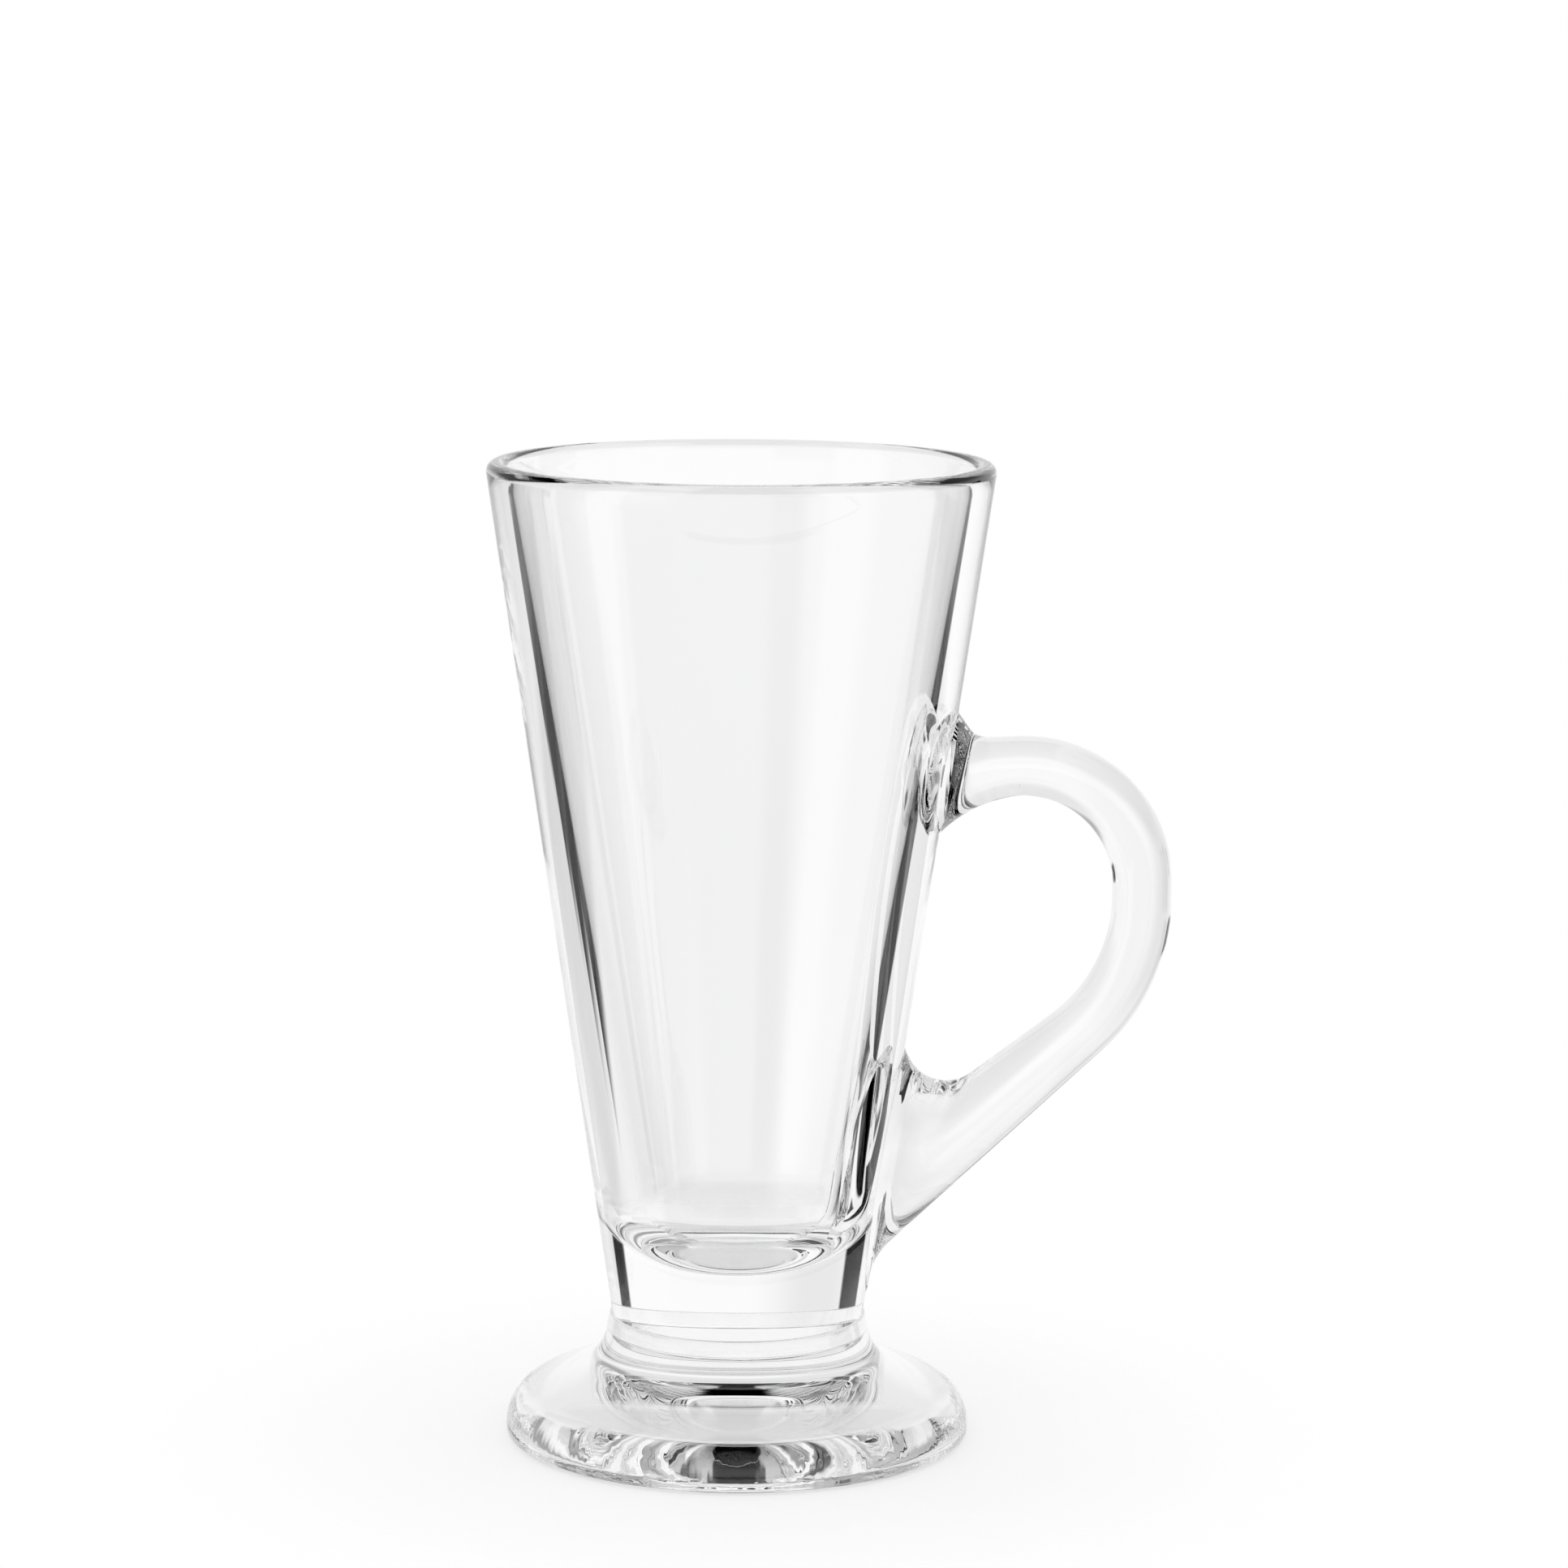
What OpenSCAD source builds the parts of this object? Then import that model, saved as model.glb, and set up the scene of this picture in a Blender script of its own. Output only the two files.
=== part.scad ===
// Footed glass mug for hot drinks: a tapered bowl, a ring collar, a flared foot and an ear-shaped handle.
// The four glass pieces are joined hot, face to face, and nothing on the mug moves.
// The origin is the centre of the foot's resting face, +Z runs up the bowl's axis, +X points to the handle.

/* [Bowl] */
// Height of the whole mug from the table to the rim
mug_h = 147; // [140:1:156]
// Outer diameter that the straight taper reaches at the rim
rim_d = 75.6; // [72:0.2:80]
// Outer diameter of the bowl where it stands on the collar
neck_d = 37.8; // [35:0.2:40]
// Thickness of the wall at the rim
rim_wall = 3.2; // [2.6:0.1:4.4]
// Thickness that the wall reaches at the level of the inside floor
base_wall = 6.8; // [5.5:0.1:8]
// Radius of the rounded lip
lip_r = 1.5; // [0.8:0.1:2]
// Depth of solid glass between the inside floor and the collar
floor_h = 8.4; // [5:0.2:10]
// Radius of the round between the inside wall and the inside floor
hollow_r = 12; // [6:0.5:13]

/* [Collar] */
// Height of the ring between the bowl and the foot
collar_h = 2.6; // [1.8:0.1:4]
// How far the ring stands out beyond the neck above it and the foot under it
collar_step = 0.25; // [0.15:0.05:0.6]
// Radius of the ring's rounded edges
collar_edge_r = 0.3; // [0.1:0.05:0.6]

/* [Foot] */
// Diameter of the foot
foot_d = 69.6; // [64:0.2:76]
// Height of the foot up to the collar
foot_h = 16.1; // [15:0.1:18]
// Diameter of the foot's top, under the collar
foot_top_d = 39; // [37:0.2:41]
// Height of the foot's upright edge, up to where the sloping top would meet it
foot_edge_h = 6; // [5.8:0.1:7.5]
// Slope of the foot's top below the level, in degrees
foot_slope = 22.4; // [21:0.2:28]
// Radius of the foot's outer shoulder
foot_shoulder_r = 6.4; // [3:0.1:6.4]
// Slope below the level, in degrees, with which the foot leaves the collar
foot_lean = 69; // [58:1:72]
// Radius of the hollow round between that steep start and the sloping top
foot_neck_r = 5.8; // [3:0.1:7]
// Radius of the foot's bottom edge
foot_bottom_r = 1.1; // [0.5:0.1:1.4]
// Diameter of the round hollow under the foot
punt_d = 59.2; // [54:0.2:61]
// Depth of that hollow at its centre
punt_h = 6.5; // [3:0.1:7.5]

/* [Handle] */
// Reach of the handle from the bowl's axis to its outermost point
handle_reach = 64.4; // [62:0.2:67]
// Height at which the upper arm's outer line would meet the ear's upright one, before the bend rounds them
handle_top_z = 107.2; // [104:0.2:110]
// How far the upper arm rises from the bowl to there
handle_rise = 1.1; // [0:0.1:3]
// Height of the handle's outermost point, where its wider lower bend begins
handle_ear_z = 82; // [79:0.1:84]
// Thickness of the handle, seen from the side
handle_t = 8.9; // [7.5:0.1:9.5]
// Width of the handle from front to back
handle_w = 11; // [9:0.2:14]
// Outer radius of the upper bend
bend_outer = 21.8; // [18:0.2:24]
// Inner radius of the upper bend
bend_inner = 13.6; // [10:0.2:15]
// Inner radius of the wider lower bend
knee_r = 22.2; // [20:0.1:26]
// Angle of the slanting arm's outer line above the level, in degrees
slant_outer = 43.2; // [41:0.2:45]
// Angle of the slanting arm's inner line above the level, in degrees
slant_inner = 37; // [35:0.2:39]
// Extra width that the handle gains at its upper root, where its sides sweep out into the bowl's face
upper_flare = 6; // [0:0.2:8]
// Extra width that the handle gains at its lower root
lower_flare = 3; // [0:0.2:6]
// Depth that the handle's raw ends run into the wall, before the bowl's face trims them
root_bite = 2.8; // [2.4:0.1:3]

/* [Hidden] */

// Chords in a full turn of the round pieces, and in each rounded corner of an outline
round_steps = 180;
corner_steps = 10;

// Radii and heights of the bowl
rim_r = rim_d / 2;
neck_r = neck_d / 2;
neck_z = foot_h + collar_h;
floor_z = neck_z + floor_h;
taper = (rim_r - neck_r) / (mug_h - neck_z);
hollow_rim_r = rim_r - rim_wall;
hollow_floor_r = neck_r + floor_h * taper - base_wall;

// Radii and heights of the foot, and the ball that the hollow under it is cut with
foot_r = foot_d / 2;
foot_top_r = foot_top_d / 2;
lean_x = (foot_h - foot_edge_h + foot_top_r * tan(foot_lean) - foot_r * tan(foot_slope))
    / (tan(foot_lean) - tan(foot_slope));
lean_z = foot_edge_h + (foot_r - lean_x) * tan(foot_slope);
punt_r = punt_d / 2;
punt_ball_r = (punt_r * punt_r + punt_h * punt_h) / (2 * punt_h);
punt_half_turn = asin(punt_r / punt_ball_r);

// Rounds between the handle and the bowl: radius, reach from the wall along the arm, height along the wall
// Over the upper root
brow_r = 3;
brow_reach = 3.2;
brow_h = 3.8;
// Under the upper root
throat_r = 19.8;
throat_reach = 5;
throat_h = 5.5;
// In the crook above the lower root
crook_r = 6.2;
crook_reach = 4.8;
crook_h = 8.7;
// At the tail under the lower root
tail_r = 10;
tail_reach = 0.3;
tail_h = 5.6;

// Distance from the bowl over which the extra width dies out, and how hollow its curve is, at the upper root
upper_flare_reach = 3.6;
upper_flare_power = 3;
// The same at the lower root
lower_flare_reach = 9;
lower_flare_power = 2;
// Squareness of the handle's section: 2 is an ellipse, and more is squarer
section_power = 2.1;
// Points round the handle's section, and stations along each straight arm
section_steps = 24;
arm_steps = 4;

// Outer radius of the tapered bowl at a height
function outer_r(z) = neck_r + (z - neck_z) * taper;

// Direction from nought to a point, one unit long
function unit(v) = v / norm(v);

// Angle brought between minus and plus half a turn
function short_turn(a) = a > 180 ? a - 360 : a < -180 ? a + 360 : a;

// Points of the arc that rounds the corner at p, between the points before and after it
function corner(before, p, after, r) =
    let (u = unit(before - p), v = unit(after - p), half = acos(u * v) / 2)
    let (centre = p + unit(u + v) * r / sin(half))
    let (from = p + u * r / tan(half) - centre, to = p + v * r / tan(half) - centre)
    let (start = atan2(from.y, from.x), turn = short_turn(atan2(to.y, to.x) - start))
    [for (i = [0 : corner_steps])
        let (a = start + turn * i / corner_steps) centre + r * [cos(a), sin(a)]];

// Outline with the corners that have a radius made round
function rounded(points, radii) =
    [for (i = [0 : len(points) - 1])
        each radii[i] == 0 ? [points[i]] : corner(points[i - 1], points[i], points[i + 1], radii[i])];

// Points that share out the straight stretch between two points, without its ends
function between(a, b) = [for (i = [1 : arm_steps]) a + (b - a) * i / (arm_steps + 1)];

// Point on the bowl's face at a height, and the same point sunk into the wall
function on_wall(z) = [outer_r(z), z];
function in_wall(z) = [outer_r(z) - root_bite, z];

// Point on a line that runs down through p at an angle, where it comes within a reach of the bowl's face
function near_wall(p, angle, reach) =
    let (rise = tan(angle))
    let (x = (neck_r + reach + taper * (p.y - neck_z - p.x * rise)) / (1 - taper * rise))
    [x, p.y - (p.x - x) * rise];

// Side line of the handle in the plane y = 0, from inside the wall at the upper root round to inside the
// wall at the lower one; both side lines have the same stations, so a section spans each pair of them
function side_line(root_z, rounds, top_z, ear_x, bend_r, knee, knee_r, lower_z) =
    let (p = [on_wall(root_z), rounds[0][0], [ear_x, top_z], knee, rounds[1][0], on_wall(lower_z)])
    let (upper = corner(p[0], p[1], p[2], rounds[0][1]), bend = corner(p[1], p[2], p[3], bend_r))
    let (low = corner(p[2], p[3], p[4], knee_r), lower = corner(p[3], p[4], p[5], rounds[1][1]))
    concat([in_wall(root_z), p[0]], upper, between(upper[corner_steps], bend[0]), bend,
           [for (i = [1 : corner_steps]) low[i]], between(low[corner_steps], lower[0]), lower,
           [p[5], in_wall(lower_z)]);

// Outer side line, through the brow, the upper bend, the knee and the tail
function outer_line() =
    let (r = knee_r + handle_t, knee = [handle_reach, handle_ear_z - r * tan(45 - slant_outer / 2)])
    let (brow_z = handle_top_z - handle_rise, brow = [outer_r(brow_z) + brow_reach, brow_z])
    let (tail = near_wall(knee, slant_outer, tail_reach))
    side_line(brow_z + brow_h, [[brow, brow_r], [tail, tail_r]], handle_top_z, handle_reach,
              bend_outer, knee, r, tail.y - tail_h);

// Inner side line, through the throat, the upper bend, the knee and the crook
function inner_line() =
    let (top_z = handle_top_z - handle_t, ear_x = handle_reach - handle_t)
    let (knee = [ear_x, handle_ear_z - knee_r * tan(45 - slant_inner / 2)])
    let (throat_z = top_z - handle_rise, root_z = throat_z - throat_h)
    let (throat = [outer_r(root_z) + throat_reach, throat_z])
    let (crook = near_wall(knee, slant_inner, crook_reach))
    side_line(root_z, [[throat, throat_r], [crook, crook_r]], top_z, ear_x,
              bend_inner, knee, knee_r, crook.y + crook_h);

// Cosine or sine bent towards a square, for the handle's section
function squarish(c) = sign(c) * pow(abs(c), 2 / section_power);

// Part of its extra width that the handle still has at a distance from the bowl
function faded(gap, reach, power) = pow(max(0, 1 - gap / reach), power);

// Half the width of the handle where its middle line passes a point
function half_w(p) =
    let (gap = max(0, p.x - outer_r(p.y)))
    handle_w / 2 + (p.y > handle_ear_z
        ? upper_flare / 2 * faded(gap, upper_flare_reach, upper_flare_power)
        : lower_flare / 2 * faded(gap, lower_flare_reach, lower_flare_power));

// Section of the handle between a point of its outer line and the paired point of its inner line
function section(a, b) =
    let (middle = (a + b) / 2, half = (a - b) / 2, w = half_w(middle))
    [for (j = [0 : section_steps - 1])
        let (t = 360 * j / section_steps, p = middle + half * squarish(cos(t)))
        [p.x, w * squarish(sin(t)), p.y]];

// Bowl: straight taper outside, steeper taper inside, rounded lip and a rounded hollow over solid glass
module bowl() {
    color([0.86, 0.91, 0.93, 0.5])
        rotate_extrude($fn = round_steps)
            polygon(rounded(
                [[0, neck_z], [neck_r, neck_z], [rim_r, mug_h], [hollow_rim_r, mug_h],
                 [hollow_floor_r, floor_z], [0, floor_z]],
                [0, 0, lip_r, lip_r, hollow_r, 0]));
}

// Collar: low ring with rounded edges that stands out a little from the neck and the foot
module collar() {
    color([0.8, 0.87, 0.9, 0.5])
        rotate_extrude($fn = round_steps)
            polygon(rounded(
                [[0, foot_h], [foot_top_r + collar_step, foot_h],
                 [neck_r + collar_step, neck_z], [0, neck_z]],
                [0, collar_edge_r, collar_edge_r, 0]));
}

// Foot: flared disc with a sloping top, an upright rounded edge and a shallow round hollow underneath
module foot() {
    color([0.84, 0.9, 0.93, 0.5])
        rotate_extrude($fn = round_steps)
            polygon(concat(
                [for (i = [0 : corner_steps - 1])
                    let (a = punt_half_turn * i / corner_steps)
                    [punt_ball_r * sin(a), punt_h - punt_ball_r * (1 - cos(a))]],
                rounded(
                    [[punt_r, 0], [foot_r, 0], [foot_r, foot_edge_h], [lean_x, lean_z],
                     [foot_top_r, foot_h], [0, foot_h]],
                    [0, foot_bottom_r, foot_shoulder_r, foot_neck_r, 0, 0])));
}

// Sweep of the handle's sections, with its raw ends still inside the bowl's wall
module handle_sweep() {
    outer = outer_line();
    inner = inner_line();
    rings = len(outer);
    polyhedron(
        points = [for (i = [0 : rings - 1]) each section(outer[i], inner[i])],
        faces = concat(
            [[for (j = [section_steps - 1 : -1 : 0]) j]],
            [for (i = [0 : rings - 2], j = [0 : section_steps - 1])
                let (k = (j + 1) % section_steps, a = i * section_steps, b = a + section_steps)
                each [[a + j, a + k, b + k], [a + j, b + k, b + j]]],
            [[for (j = [0 : section_steps - 1]) (rings - 1) * section_steps + j]]));
}

// Handle: ear-shaped arm whose two roots end face to face on the bowl's taper
module handle() {
    color([0.88, 0.92, 0.94, 0.5])
        difference() {
            handle_sweep();
            translate([0, 0, neck_z])
                cylinder(r1 = neck_r, r2 = rim_r, h = mug_h - neck_z, $fn = round_steps);
        }
}

bowl();
collar();
foot();
handle();
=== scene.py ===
# %% [markdown]
# # A footed glass mug for hot drinks
#
# The mug is four pieces of clear glass that were joined while they were hot: a tapered bowl, a low ring
# collar, a flared foot and an ear-shaped handle. This lesson dresses their plain solids. Clear glass has no
# colour of its own to paint, so the work is in three things: smooth and exact surfaces, joints that let
# light through as one piece of glass does, and surroundings that are worth seeing through it.

# %% Load the frame
import math

import bmesh
import bpy
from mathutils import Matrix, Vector
from mathutils.geometry import delaunay_2d_cdt


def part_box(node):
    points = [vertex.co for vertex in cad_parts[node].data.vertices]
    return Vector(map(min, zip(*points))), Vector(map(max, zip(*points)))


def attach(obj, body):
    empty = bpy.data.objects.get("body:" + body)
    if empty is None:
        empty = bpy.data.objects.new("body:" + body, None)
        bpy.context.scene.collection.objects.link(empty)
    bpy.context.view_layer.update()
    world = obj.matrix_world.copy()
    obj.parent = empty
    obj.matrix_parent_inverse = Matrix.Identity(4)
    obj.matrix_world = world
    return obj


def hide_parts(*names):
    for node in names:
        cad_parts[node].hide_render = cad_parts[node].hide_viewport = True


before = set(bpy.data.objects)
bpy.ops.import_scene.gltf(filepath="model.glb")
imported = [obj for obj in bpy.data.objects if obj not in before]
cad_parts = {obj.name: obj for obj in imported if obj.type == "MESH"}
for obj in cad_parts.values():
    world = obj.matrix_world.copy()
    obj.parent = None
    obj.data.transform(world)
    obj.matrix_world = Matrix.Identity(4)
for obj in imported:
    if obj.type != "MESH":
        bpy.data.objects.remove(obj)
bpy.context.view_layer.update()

print("CAD pieces:", sorted(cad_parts))

# %% [markdown]
# ## Sizes
#
# A mug of this kind is drawn as half a section: a few heights and radii, and a round in each corner. They
# could all be typed here, but the frame already knows where each solid lies. So the main heights, the foot's
# radius and the handle's reach are read from it, and these can't drift away from the solids. What a box
# can't tell, such as a wall or a round, is a named value here, in metres, and the same as in the solids. The
# bowl's radii are named values too.

# %% Sizes read from the frame
MM = 0.001
mug_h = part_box("bowl")[1].z
neck_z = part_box("bowl")[0].z
foot_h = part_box("foot")[1].z
foot_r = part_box("foot")[1].x
handle_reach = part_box("handle")[1].x
print(f"mug {mug_h / MM:.1f} high, neck at {neck_z / MM:.1f}, "
      f"foot {foot_h / MM:.1f} high and {foot_r / MM:.1f} in radius")

# %% Sizes of the bowl
rim_r = 37.8 * MM
neck_r = 18.9 * MM
rim_wall = 3.2 * MM
base_wall = 6.8 * MM
lip_r = 1.5 * MM
floor_z = neck_z + 8.4 * MM
hollow_r = 12 * MM
taper = (rim_r - neck_r) / (mug_h - neck_z)
hollow_rim_r = rim_r - rim_wall
hollow_floor_r = neck_r + (floor_z - neck_z) * taper - base_wall


def bowl_r(z):
    """Outer radius of the tapered bowl at a height."""
    return neck_r + (z - neck_z) * taper


print(f"taper {math.degrees(math.atan(taper)):.2f} degrees, inside floor at {floor_z / MM:.1f}")

# %% Sizes of the collar and the foot
collar_step = 0.25 * MM
collar_edge_r = 0.3 * MM
foot_top_r = 19.5 * MM
foot_bottom_r = 1.1 * MM
# The foot's top slopes up from the edge, and leans steeply to the collar
foot_edge_h = 6 * MM
foot_slope = math.radians(22.4)
foot_shoulder_r = 6.4 * MM
foot_lean = math.radians(69)
foot_neck_r = 5.8 * MM
# The hollow under the foot is part of a ball
punt_r = 29.6 * MM
punt_h = 6.5 * MM
lean_x = (foot_h - foot_edge_h + foot_top_r * math.tan(foot_lean) - foot_r * math.tan(foot_slope)) / (
    math.tan(foot_lean) - math.tan(foot_slope))
lean_z = foot_edge_h + (foot_r - lean_x) * math.tan(foot_slope)
print(f"the foot's slope turns steep at radius {lean_x / MM:.1f} and height {lean_z / MM:.1f}")

# %% [markdown]
# ## Outlines
#
# Three of the pieces are round, so each is an outline turned about the axis. An outline is a few corner
# points, each with a radius. Two helpers make it smooth: one lays an arc into a corner, and the other adds
# points along the straight stretches, so that the shading of an arc doesn't bleed into the flat beside it.

# %% Arcs and stretches
# An arc's turn from step to step, and the fewest steps that any arc has
ARC_STEP = math.radians(6)
ARC_LEAST = 4
# Longest stretch between two points, and a little spare for rounding errors
STRETCH_STEP = 2 * MM
STRETCH_SPARE = 1e-6


def corner(before, p, after, radius, count=None):
    """Points of the arc that rounds the corner at p, in as many steps as its turn needs or as are given."""
    u, v = (before - p).normalized(), (after - p).normalized()
    half = math.acos(max(-1, min(1, u.dot(v)))) / 2
    centre = p + (u + v).normalized() * radius / math.sin(half)
    a, b = p + u * radius / math.tan(half) - centre, p + v * radius / math.tan(half) - centre
    start = math.atan2(a.y, a.x)
    turn = (math.atan2(b.y, b.x) - start + math.pi) % (2 * math.pi) - math.pi
    count = count or max(ARC_LEAST, math.ceil(abs(turn) / ARC_STEP))
    angles = [start + turn * i / count for i in range(count + 1)]
    return [centre + Vector((math.cos(t), math.sin(t))) * radius for t in angles]


def rounded(points, radii):
    """The outline with an arc in each corner that has a radius."""
    out = []
    for i, (p, r) in enumerate(zip(points, radii)):
        out += corner(points[i - 1], p, points[i + 1], r) if r else [p]
    return out


def stretched(points):
    """The outline with points added so that none lie further apart than a step."""
    out = [points[0]]
    for a, b in zip(points, points[1:]):
        count = max(1, math.ceil((b - a).length / STRETCH_STEP - STRETCH_SPARE))
        out += [a.lerp(b, i / count) for i in range(1, count + 1)]
    return out


def outline(corners):
    """Outline of a round piece from (radius, height, corner radius) triples."""
    return stretched(rounded([Vector(c[:2]) for c in corners], [c[2] for c in corners]))


square_corner = Vector((1, 0)), Vector((0, 0)), Vector((0, 1))
print("points in the arc of a square corner:", len(corner(*square_corner, rim_wall)))

# %% Outlines of the three round pieces
PUNT_STEPS = 24
bowl_line = outline([
    (0, neck_z, 0), (neck_r, neck_z, 0), (rim_r, mug_h, lip_r), (hollow_rim_r, mug_h, lip_r),
    (hollow_floor_r, floor_z, hollow_r), (0, floor_z, 0)])
collar_line = outline([
    (0, foot_h, 0), (foot_top_r + collar_step, foot_h, collar_edge_r),
    (neck_r + collar_step, neck_z, collar_edge_r), (0, neck_z, 0)])
ball_r = (punt_r ** 2 + punt_h ** 2) / (2 * punt_h)
ball_turn = math.asin(punt_r / ball_r)
punt_line = [
    Vector((ball_r * math.sin(t), punt_h - ball_r * (1 - math.cos(t))))
    for t in (ball_turn * i / PUNT_STEPS for i in range(PUNT_STEPS))]
foot_line = punt_line + outline([
    (punt_r, 0, 0), (foot_r, 0, foot_bottom_r), (foot_r, foot_edge_h, foot_shoulder_r),
    (lean_x, lean_z, foot_neck_r), (foot_top_r, foot_h, 0), (0, foot_h, 0)])
print("outline points:", len(bowl_line), len(collar_line), len(foot_line))

# %% [markdown]
# ## A lathe of nodes
#
# A glass press makes a round piece from a turned mould, and a lathe of Geometry Nodes does the same: a grid
# is wrapped round the axis, each of its columns is a copy of the outline, and the seam and the two poles
# are merged. The Screw modifier could do this too, but a tree shows each step of the way, has named inputs
# for its sizes and serves all three round pieces.

# %% Helpers for node trees
def link_nodes(tree, *pairs):
    """Links each pair of sockets in a tree."""
    for a, b in pairs:
        tree.links.new(a, b)


def feed(tree, value, socket):
    """Links an output into a socket, or writes a plain value there."""
    if isinstance(value, bpy.types.NodeSocket):
        tree.links.new(value, socket)
    else:
        socket.default_value = value


def maths(tree, operation, *inputs):
    """Adds a Math node, feeds its inputs in order, and returns its output."""
    node = tree.nodes.new("ShaderNodeMath")
    node.operation = operation
    for socket, value in zip(node.inputs, inputs):
        feed(tree, value, socket)
    return node.outputs[0]


# %% Build the lathe
def lathe_tree():
    """Geometry Nodes tree that turns a row of points about the Z axis. Returns it with its inputs."""
    tree = bpy.data.node_groups.new("lathe", "GeometryNodeTree")
    sockets = {
        name: tree.interface.new_socket(name, in_out="INPUT", socket_type=kind)
        for name, kind in (("Outline", "NodeSocketGeometry"), ("Steps Round", "NodeSocketInt"),
                           ("Merge Distance", "NodeSocketFloat"), ("Material", "NodeSocketMaterial"))}
    tree.interface.new_socket("Geometry", in_out="OUTPUT", socket_type="NodeSocketGeometry")
    new = tree.nodes.new
    given, group_out = new("NodeGroupInput").outputs, new("NodeGroupOutput")
    size, grid = new("GeometryNodeAttributeDomainSize"), new("GeometryNodeMeshGrid")
    tree.links.new(given["Outline"], size.inputs[0])
    count, index = size.outputs["Point Count"], new("GeometryNodeInputIndex").outputs[0]
    columns = maths(tree, "ADD", given["Steps Round"], 1)
    column = maths(tree, "FLOOR", maths(tree, "DIVIDE", index, count))
    row = maths(tree, "MODULO", index, count)
    angle = maths(tree, "MULTIPLY", column, maths(tree, "DIVIDE", 2 * math.pi, given["Steps Round"]))
    sample, place = new("GeometryNodeSampleIndex"), new("GeometryNodeInputPosition")
    spin, move = new("ShaderNodeVectorRotate"), new("GeometryNodeSetPosition")
    merge, real = new("GeometryNodeMergeByDistance"), new("GeometryNodeRealizeInstances")
    paint = new("GeometryNodeSetMaterial")
    sample.data_type, spin.rotation_type = "FLOAT_VECTOR", "Z_AXIS"
    link_nodes(
        tree,
        (columns, grid.inputs["Vertices X"]), (count, grid.inputs["Vertices Y"]),
        (given["Outline"], sample.inputs["Geometry"]),
        (place.outputs[0], sample.inputs["Value"]), (row, sample.inputs["Index"]),
        (sample.outputs[0], spin.inputs["Vector"]), (angle, spin.inputs["Angle"]),
        (grid.outputs["Mesh"], move.inputs["Geometry"]), (spin.outputs[0], move.inputs["Position"]),
        (move.outputs[0], merge.inputs["Geometry"]), (given["Merge Distance"], merge.inputs["Distance"]),
        (merge.outputs[0], real.inputs[0]), (real.outputs[0], paint.inputs["Geometry"]),
        (given["Material"], paint.inputs["Material"]), (paint.outputs[0], group_out.inputs[0]))
    return tree, sockets


lathe, lathe_inputs = lathe_tree()
print("lathe inputs:", [s.name for s in lathe_inputs.values()])

# %% [markdown]
# ## Clear glass
#
# Pressed soda-lime glass bends light by an index of 1.5 and has almost no colour. Its skin isn't quite
# even: it was soft when it left the mould, and a slow ripple stayed in it. The ripple is a bump here, far
# too fine to change the shape, but enough to make the reflections and the dark lines waver a little.
#
# Where two pieces were joined hot there is no surface between them. One merged mesh would show that too,
# but then the pieces couldn't be told apart. So each piece stays a closed solid, and the faces that meet
# get a second material that lets light through unbent, so the glass looks like one.

# %% Values of the glass
GLASS_IOR = 1.5
GLASS_TINT = (0.992, 0.994, 0.993)
# Height of the ripple, the size of its waves round the mug, and how much longer they are along its axis
RIPPLE_HEIGHT = 0.01 * MM
SKIN_WAVE = 9 * MM
EDGE_WAVE = 1.4 * MM
WAVE_STRETCH = 5
WAVE_DETAIL = 1
SKIN_SEED = 0
EDGE_SEED = 5
# The foot's edge adds tighter waves: their height beside that of the slow ones, and where they begin
EDGE_SHARE = 5
EDGE_TOP = 7 * MM
EDGE_RADIUS = 29 * MM
EDGE_BORDER = 1 * MM
print(f"waves of {SKIN_WAVE / MM:.1f} mm in the skin and {EDGE_WAVE / MM:.1f} mm on the foot's edge")

# %% Helpers for materials
def new_material(name):
    """A material with its tree and its Principled shader."""
    material = bpy.data.materials.new(name)
    material.use_nodes = True
    return material, material.node_tree, material.node_tree.nodes["Principled BSDF"]


def smooth_range(tree, value, low, high):
    """Rises smoothly from 0 to 1 as a value goes from one number to another."""
    node = tree.nodes.new("ShaderNodeMapRange")
    node.interpolation_type = "SMOOTHSTEP"
    for name, given in (("Value", value), ("From Min", low), ("From Max", high)):
        feed(tree, given, node.inputs[name])
    return node.outputs["Result"]


def length_of(tree, vector):
    """Length of a vector."""
    node = tree.nodes.new("ShaderNodeVectorMath")
    node.operation = "LENGTH"
    tree.links.new(vector, node.inputs[0])
    return node.outputs["Value"]


def ripple(tree, where, size, seed):
    """Soft noise whose waves have a size round the mug and are drawn out along its axis."""
    mapping = tree.nodes.new("ShaderNodeMapping")
    mapping.inputs["Location"].default_value = (seed, seed, seed)
    mapping.inputs["Scale"].default_value = (1 / size, 1 / size, 1 / (size * WAVE_STRETCH))
    noise = tree.nodes.new("ShaderNodeTexNoise")
    noise.inputs["Scale"].default_value = 1
    noise.inputs["Detail"].default_value = WAVE_DETAIL
    link_nodes(tree, (where, mapping.inputs["Vector"]), (mapping.outputs[0], noise.inputs["Vector"]))
    return noise.outputs[0]


# %% Make the clear glass
def edge_share(tree, where):
    """How strong the tighter waves are at a place: full on the foot's edge, and none away from it."""
    parts, flat = tree.nodes.new("ShaderNodeSeparateXYZ"), tree.nodes.new("ShaderNodeCombineXYZ")
    link_nodes(tree, (where, parts.inputs[0]), (parts.outputs["X"], flat.inputs["X"]),
               (parts.outputs["Y"], flat.inputs["Y"]))
    low = smooth_range(tree, parts.outputs["Z"], EDGE_TOP, EDGE_TOP / 2)
    wide = smooth_range(tree, length_of(tree, flat.outputs[0]), EDGE_RADIUS - EDGE_BORDER,
                        EDGE_RADIUS + EDGE_BORDER)
    return maths(tree, "MULTIPLY", maths(tree, "MULTIPLY", low, wide), EDGE_SHARE)


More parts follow.
